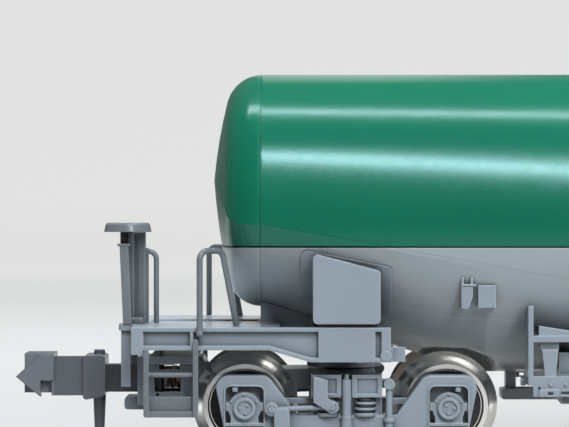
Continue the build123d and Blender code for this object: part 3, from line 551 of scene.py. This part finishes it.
def add_block(bm, low, high, edge, lean=0.0):
    """Moulded block between two corners in mm, its edges broken and its top moved along X."""
    middle = (Vector(low) + Vector(high)) * 0.5 * MM
    size = (Vector(high) - Vector(low)) * MM
    seat = Matrix.Translation(middle) @ Matrix.Diagonal((*size, 1.0))
    made = bmesh.ops.create_cube(bm, size=1.0, matrix=seat)["verts"]
    for vert in made:
        if vert.co.z > middle.z:
            vert.co.x += lean * MM
    rims = {rim for vert in made for rim in vert.link_edges}
    break_edges(bm, rims, edge * MM)


def wire_section(bm, seat, radius, wire, filled):
    """Round section of a wire, out on the X of a seat and facing along its turn."""
    section = seat @ Matrix.Translation((radius, 0, 0)) @ Matrix.Rotation(pi / 2, 4, "X")
    made = bmesh.ops.create_circle(bm, cap_ends=filled, segments=8, radius=wire, matrix=section)
    return made["verts"]


def add_ring(bm, place, direction, radius, wire):
    """Ring of round wire that lies on a place."""
    verts = wire_section(bm, facing(place, direction), radius, wire, False)
    edges = {edge for vert in verts for edge in vert.link_edges}
    bmesh.ops.spin(
        bm, geom=[*verts, *edges], cent=place, axis=direction, angle=2 * pi, steps=24,
        use_merge=True, use_duplicate=False)


def add_coil(bm, seat, rise, radius, wire, turns):
    """Round wire wound up the Z of a seat, its ends closed."""
    verts = wire_section(bm, seat, radius, wire, True)
    axis = seat.to_3x3() @ Vector((0, 0, 1))
    steps = round(turns * 20)
    bmesh.ops.spin(
        bm, geom=verts[0].link_faces[:], cent=seat.translation, axis=axis,
        dvec=axis * (rise / steps), angle=turns * 2 * pi, steps=steps, use_duplicate=False)


# Operators
class TANKCAR_OT_paint_tank(bpy.types.Operator):
    """Gives the tank mouldings, saddles and manhole their finishes"""

    bl_idname = "tankcar.paint_tank"
    bl_label = "Paint tank"

    def execute(self, context):
        settings = context.scene.tank_car_finishes
        paint(starting("tank_upper"), gloss_green(settings))
        lower = satin_grey(
            "tank_grey_satin", settings.lower_grey, settings.grey_roughness, sheet_seams_and_highlights)
        paint(starting("tank_lower"), lower)
        plain = satin_grey("saddle_grey_satin", settings.frame_grey, settings.grey_roughness)
        paint(starting("saddle", "manhole"), plain)
        return {"FINISHED"}


class TANKCAR_OT_paint_frame(bpy.types.Operator):
    """Gives the frames, bogies, couplers and tank fittings their finishes"""

    bl_idname = "tankcar.paint_frame"
    bl_label = "Paint frame"

    def execute(self, context):
        settings = context.scene.tank_car_finishes
        grey = satin_grey("frame_grey_satin", settings.frame_grey, settings.grey_roughness)
        paint(starting("air", "brake_cylinder", "card", "centre", "end_frame"), grey)
        paint(starting("ladder", "outlet", "safety", "side"), grey)
        bogie = satin_grey(
            "bogie_grey_satin", settings.frame_grey, settings.grey_roughness, spring_shade)
        paint(starting("bogie"), bogie)
        rails = satin_grey("rail_grey_satin", settings.rail_grey, settings.grey_roughness)
        paint(starting("handrail", "step", "end_rail", "brake_stand", "brake_wheel"), rails)
        dark = satin_grey(
            "coupler_grey_satin", settings.coupler_grey, settings.grey_roughness, coupler_plate)
        paint(starting("coupler"), dark)
        paint(starting("walkway"), walkway_tread(settings))
        return {"FINISHED"}


class TANKCAR_OT_paint_running_gear(bpy.types.Operator):
    """Gives the wheels, axles, springs and weight their metals"""

    bl_idname = "tankcar.paint_running_gear"
    bl_label = "Paint running gear"

    def execute(self, context):
        settings = context.scene.tank_car_finishes
        paint(starting("wheel"), plated_wheel(settings))
        paint(starting("axle"), blackened(settings))
        paint(starting("spring"), drawn_metal("spring_copper", settings.spring_copper, 0.22))
        paint(starting("weight"), drawn_metal("weight_steel", settings.weight_steel, 0.4))
        return {"FINISHED"}


class TANKCAR_OT_box_bolts(bpy.types.Operator):
    """Puts three bolts on each axle box cap and three plugs on its arch"""

    bl_idname = "tankcar.box_bolts"
    bl_label = "Axle box bolts"

    def execute(self, context):
        radius = context.scene.tank_car_fittings.cap_bolt
        head = 0.09 * MM
        grey = bpy.data.materials["frame_grey_satin"]
        # Bolts as (out from the axle along the bogie, up from it, proud of the side, size)
        bolts = [
            (0.18, 0.20, 0.25, 1.0), (-0.31, 0.03, 0.25, 1.0), (0.06, -0.30, 0.25, 1.0),
            (-0.03, 0.86, 0.05, 0.75), (-0.82, 0.42, 0.05, 0.75), (0.76, 0.42, 0.05, 0.75),
        ]
        for end, sign in (("a", -1), ("b", 1)):
            bm = bmesh.new()
            for side in (-1, 1):
                for axle in (-1, 1):
                    centre = sign * BOGIE_X + axle * AXLE_HALF
                    for along, up, proud, size in bolts:
                        place = (
                            centre - axle * along * MM, side * (SIDE_FACE_Y + proud) * MM,
                            AXLE_Z + up * MM)
                        add_bolt(bm, place, (0, side, 0), radius * size, head)
            finish_piece("box_bolts_" + end, bm, "bogie_" + end, grey)
        return {"FINISHED"}


class TANKCAR_OT_spring_gear(bpy.types.Operator):
    """Winds the wire of the bogie springs and rings the eyes of the link rods"""

    bl_idname = "tankcar.spring_gear"
    bl_label = "Bogie springs and eyes"

    def execute(self, context):
        fittings = context.scene.tank_car_fittings
        grey = bpy.data.materials["frame_grey_satin"]
        # Springs stand on the lower beam, leaning a little
        below_axle, lean, turns = 0.30 * MM, 0.1, 2.6
        rise, coil_radius = 0.94 * MM, 0.66 * MM
        # Eyes as (along the bogie, up from the axle), proud of the side
        eyes = [(-4.67, -0.04), (-0.9, 0.11)]
        proud, ring_wire = 0.5, 0.06 * MM
        for end, sign in (("a", -1), ("b", 1)):
            coils = bmesh.new()
            rings = bmesh.new()
            for side in (-1, 1):
                for along in (-SPRING_X, SPRING_X):
                    foot = (
                        sign * BOGIE_X + along * MM, side * (SIDE_FACE_Y - SPRING_IN) * MM,
                        AXLE_Z - below_axle)
                    seat = Matrix.Translation(foot) @ Matrix.Rotation(-sign * lean, 4, "Y")
                    add_coil(coils, seat, rise, coil_radius, fittings.coil_wire, turns)
                for along, up in eyes:
                    place = (
                        sign * (BOGIE_X - along * MM), side * (SIDE_FACE_Y + proud) * MM,
                        AXLE_Z + up * MM)
                    add_ring(rings, place, (0, side, 0), fittings.eye_ring, ring_wire)
            body = "bogie_" + end
            finish_piece("bogie_springs_" + end, coils, body, grey, smooth=True)
            finish_piece("link_rings_" + end, rings, body, grey, smooth=True)
        return {"FINISHED"}


class TANKCAR_OT_brake_stand(bpy.types.Operator):
    """Builds the hand brake's stand: posts, a thin web, a leaning post with a cap, a shaft"""

    bl_idname = "tankcar.brake_stand"
    bl_label = "Brake stand"

    def execute(self, context):
        low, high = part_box("brake_stand")
        floor, top = low.z / MM, high.z / MM
        # Two posts, the web, the leaning post, its cap and the foot that joins them, as
        # (low corner, high corner, width of the broken edges, lean of the top along X)
        blocks = [
            ((-43.12, -3.95, floor), (-42.71, -3.45, top), 0.05, 0.0),
            ((-42.50, -3.40, floor), (-42.00, -2.95, top), 0.06, 0.0),
            ((-42.75, -3.30, floor), (-42.45, -3.12, top), 0.03, 0.0),
            ((-43.36, -4.75, floor), (-42.80, -4.25, 13.42), 0.07, -0.22),
            ((-43.72, -4.80, 13.38), (-42.92, -4.20, 13.56), 0.06, 0.0),
            ((-43.20, -4.20, floor), (-42.20, -3.00, floor + 0.35), 0.05, 0.0),
        ]
        shaft_x, shaft_y, shaft_foot, shaft_radius = -43.34, -4.0, 13.2, 0.24
        rails = bpy.data.materials["rail_grey_satin"]
        bm = bmesh.new()
        for start, end, edge, lean in blocks:
            add_block(bm, start, end, edge, lean)
        piece = finish_piece("brake_posts", bm, "car", rails)
        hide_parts("brake_stand")
        shaft = bmesh.new()
        place = (shaft_x * MM, shaft_y * MM, shaft_foot * MM)
        add_bolt(shaft, place, (0, 0, 1), shaft_radius * MM, (top - shaft_foot) * MM, 16)
        dark = bpy.data.materials["axle_black"]
        finish_piece("brake_shaft", shaft, "car", dark, smooth=True)
        return {"FINISHED"}


class TANKCAR_OT_lid_clamps(bpy.types.Operator):
    """Puts swing bolts round the manhole lid"""

    bl_idname = "tankcar.lid_clamps"
    bl_label = "Lid clamps"

    def execute(self, context):
        fittings = context.scene.tank_car_fittings
        grey = bpy.data.materials["saddle_grey_satin"]
        lid_low, lid_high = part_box("manhole_lid")
        inset, above_foot, head = 0.3 * MM, 0.4 * MM, 0.3 * MM
        ring = lid_high.y - inset
        bm = bmesh.new()
        for k in range(fittings.clamp_count):
            turn = 2 * pi * (k + 0.5) / fittings.clamp_count
            place = (ring * cos(turn), ring * sin(turn), lid_low.z + above_foot)
            add_bolt(bm, place, (0, 0, 1), fittings.clamp_bolt, head)
        finish_piece("lid_clamps", bm, "car", grey)
        return {"FINISHED"}


class TANKCAR_OT_frame_bolts(bpy.types.Operator):
    """Puts pins on the gear plates of the centre frame"""

    bl_idname = "tankcar.frame_bolts"
    bl_label = "Frame pins"

    def execute(self, context):
        radius = context.scene.tank_car_fittings.frame_bolt
        head = 0.1 * MM
        grey = bpy.data.materials["frame_grey_satin"]
        # Pins stand in a row along the car
        height = 4.93
        pins = [16.73, 15.78, 14.2]
        bm = bmesh.new()
        for across in (-1, 1):
            for along in (-1, 1):
                for x in pins:
                    place = (along * x * MM, across * SILL_FACE_Y * MM, height * MM)
                    add_bolt(bm, place, (0, across, 0), radius, head, 12)
        finish_piece("frame_pins", bm, "car", grey)
        return {"FINISHED"}


class TANKCAR_OT_studio(bpy.types.Operator):
    """Sets the floor, the light and the camera"""

    bl_idname = "tankcar.studio"
    bl_label = "Studio"

    def execute(self, context):
        studio = context.scene.tank_car_studio
        self.floor(studio)
        self.lights(studio)
        world = bpy.data.worlds.new("studio_fill")
        world.use_nodes = True
        background = world.node_tree.nodes["Background"]
        background.inputs["Color"].default_value = (0.96, 0.98, 1.0, 1.0)
        background.inputs["Strength"].default_value = studio.fill
        context.scene.world = world
        data = bpy.data.cameras.new("photo_camera")
        data.lens = studio.lens
        data.sensor_width = 36
        data.clip_start = 0.01
        data.clip_end = 20
        camera = bpy.data.objects.new("photo_camera", data)
        context.scene.collection.objects.link(camera)
        camera.location = studio.camera_place
        camera.rotation_euler = (pi / 2, 0, 0)
        context.scene.camera = camera
        context.scene.view_settings.view_transform = "Standard"
        return {"FINISHED"}

    def lights(self, studio):
        """Two strips that the tank mirrors, one behind, and a card for the wheels alone."""
        # Lights as (one end, other end, width) in metres
        front = (-0.06, -0.244, 0.374), (0.206, -0.478, 0.148), 0.030
        top = (-0.25, 0.12, 0.42), (0.25, -0.09, 0.42), 0.020
        behind = (-0.22, 0.12, 0.20), (0.18, 0.12, 0.20), 0.080
        card = (0.06, -0.30, 0.44), (0.38, -0.30, 0.44), 0.130
        cool = (0.93, 1.0, 1.1)
        self.strip("front_strip", *front, studio.front_strip, cool)
        self.strip("top_strip", *top, studio.top_strip, cool)
        back = self.strip("back_strip", *behind, studio.back_strip)
        back.visible_glossy = False
        plated = self.strip("wheel_card", *card, studio.wheel_card)
        plated.light_linking.receiver_collection = self.gather("plated_wheels", "wheel")
        plated.light_linking.blocker_collection = self.gather(
            "wheel_shades", "wheel", "bogie", "end_frame", "step")

    def gather(self, name, *starts):
        """Collection of the nodes whose names start so, for light linking."""
        group = bpy.data.collections.new(name)
        for node in starting(*starts):
            group.objects.link(nodes[node])
        return group

    def floor(self, studio):
        """Floor whose edge turns up all round."""
        reach, rise, bend = 1.6, 1.3, 0.8
        bm = bmesh.new()
        line = [bm.verts.new(point) for point in ((0, 0, 0), (reach, 0, 0), (reach, 0, rise))]
        for pair in zip(line, line[1:]):
            bm.edges.new(pair)
        bmesh.ops.bevel(
            bm, geom=[line[1]], offset=bend, segments=14, profile=0.5, affect="VERTICES",
            material=-1)
        bmesh.ops.spin(
            bm, geom=bm.verts[:] + bm.edges[:], cent=(0, 0, 0), axis=(0, 0, 1),
            angle=2 * pi, steps=64, use_merge=True, use_duplicate=False)
        bmesh.ops.remove_doubles(bm, verts=bm.verts, dist=1e-6)
        bmesh.ops.recalc_face_normals(bm, faces=bm.faces)
        bmesh.ops.reverse_faces(bm, faces=bm.faces)
        mesh = bpy.data.meshes.new("floor")
        bm.to_mesh(mesh)
        bm.free()
        mesh.shade_smooth()
        floor = bpy.data.objects.new("floor", mesh)
        bpy.context.scene.collection.objects.link(floor)
        mesh.materials.append(self.lit_paper(studio))

    def lit_paper(self, studio):
        """Paper that glows to the camera, behind the car, and where the tank mirrors it."""
        finish = Finish("floor_paper")
        tooth = finish.noise(1.5, 3.0)
        pale = tuple(studio.floor_colour)
        seen = finish.add("ShaderNodeLightPath", {}, {}, "Is Camera Ray")
        mirrored = finish.add("ShaderNodeLightPath", {}, {}, "Is Glossy Ray")
        # Ramps run between distances from the car's middle in millimetres
        radius = (finish.x * finish.x + finish.y * finish.y).root()
        behind = finish.y.ramp(12.0, 32.0) * (abs(finish.x).ramp(168.0, 48.0) * 0.85 + 0.15)
        near = finish.y.ramp(-37.5, -12.5) * finish.y.ramp(-8.0, -12.0)
        right = finish.x.ramp(-32.0, -24.0) * radius.ramp(166.67, 47.62)
        lit = behind.or_more(seen).or_more(mirrored * (near * 1.8).or_more(right))
        lit = lit * (radius.ramp(0.0, 500.0) * 0.44 + 0.52 + finish.z.ramp(0.0, 40.0) * 0.08)
        glow = (studio.glow * 0.99, studio.glow, studio.glow * 0.99)
        return finish.shade({
            "Base Color": finish.mix(tooth, tint(pale, 0.99), pale),
            "Roughness": 0.9,
            "Specular IOR Level": 0.1,
            "Emission Color": finish.mix(lit, (0.0, 0.0, 0.0), glow),
            "Emission Strength": 1.0,
        })

    def strip(self, name, start, end, width, power, colour=(1.0, 1.0, 1.0)):
        """Long soft light between two ends, turned to the tank."""
        along = (Vector(end) - Vector(start)).normalized()
        middle = (Vector(start) + Vector(end)) / 2
        back = middle - Vector((0, 0, TANK_Z))
        back = (back - along * back.dot(along)).normalized()
        data = bpy.data.lights.new(name, "AREA")
        data.shape = "RECTANGLE"
        data.size = (Vector(end) - Vector(start)).length
        data.size_y = width
        data.energy = power
        data.color = colour
        light = bpy.data.objects.new(name, data)
        bpy.context.scene.collection.objects.link(light)
        light.location = middle
        light.rotation_euler = Matrix((along, back.cross(along), back)).transposed().to_euler()
        light.visible_camera = False
        return light


STEPS = (
    TANKCAR_OT_paint_tank,
    TANKCAR_OT_paint_frame,
    TANKCAR_OT_paint_running_gear,
    TANKCAR_OT_box_bolts,
    TANKCAR_OT_spring_gear,
    TANKCAR_OT_brake_stand,
    TANKCAR_OT_lid_clamps,
    TANKCAR_OT_frame_bolts,
    TANKCAR_OT_studio,
)


class TANKCAR_PT_sidebar(bpy.types.Panel):
    """Buttons and settings of the tank car"""

    bl_idname = "TANKCAR_PT_sidebar"
    bl_label = "Tank Car"
    bl_space_type = "VIEW_3D"
    bl_region_type = "UI"
    bl_category = "Tank Car"

    def draw(self, context):
        for step in STEPS:
            self.layout.operator(step.bl_idname)
        for group in ("tank_car_finishes", "tank_car_fittings", "tank_car_studio"):
            settings = getattr(context.scene, group)
            box = self.layout.box()
            for name in settings.__annotations__:
                box.prop(settings, name)


GROUPS = {
    "tank_car_finishes": TankCarFinishes,
    "tank_car_fittings": TankCarFittings,
    "tank_car_studio": TankCarStudio,
}


def register():
    for made in (*GROUPS.values(), *STEPS, TANKCAR_PT_sidebar):
        bpy.utils.register_class(made)
    for name, group in GROUPS.items():
        setattr(bpy.types.Scene, name, PointerProperty(type=group))


def unregister():
    for name in GROUPS:
        delattr(bpy.types.Scene, name)
    for made in reversed((*GROUPS.values(), *STEPS, TANKCAR_PT_sidebar)):
        bpy.utils.unregister_class(made)


def main():
    register()
    for step in STEPS:
        group, name = step.bl_idname.split(".")
        getattr(getattr(bpy.ops, group), name)()


if __name__ == "__main__":
    main()
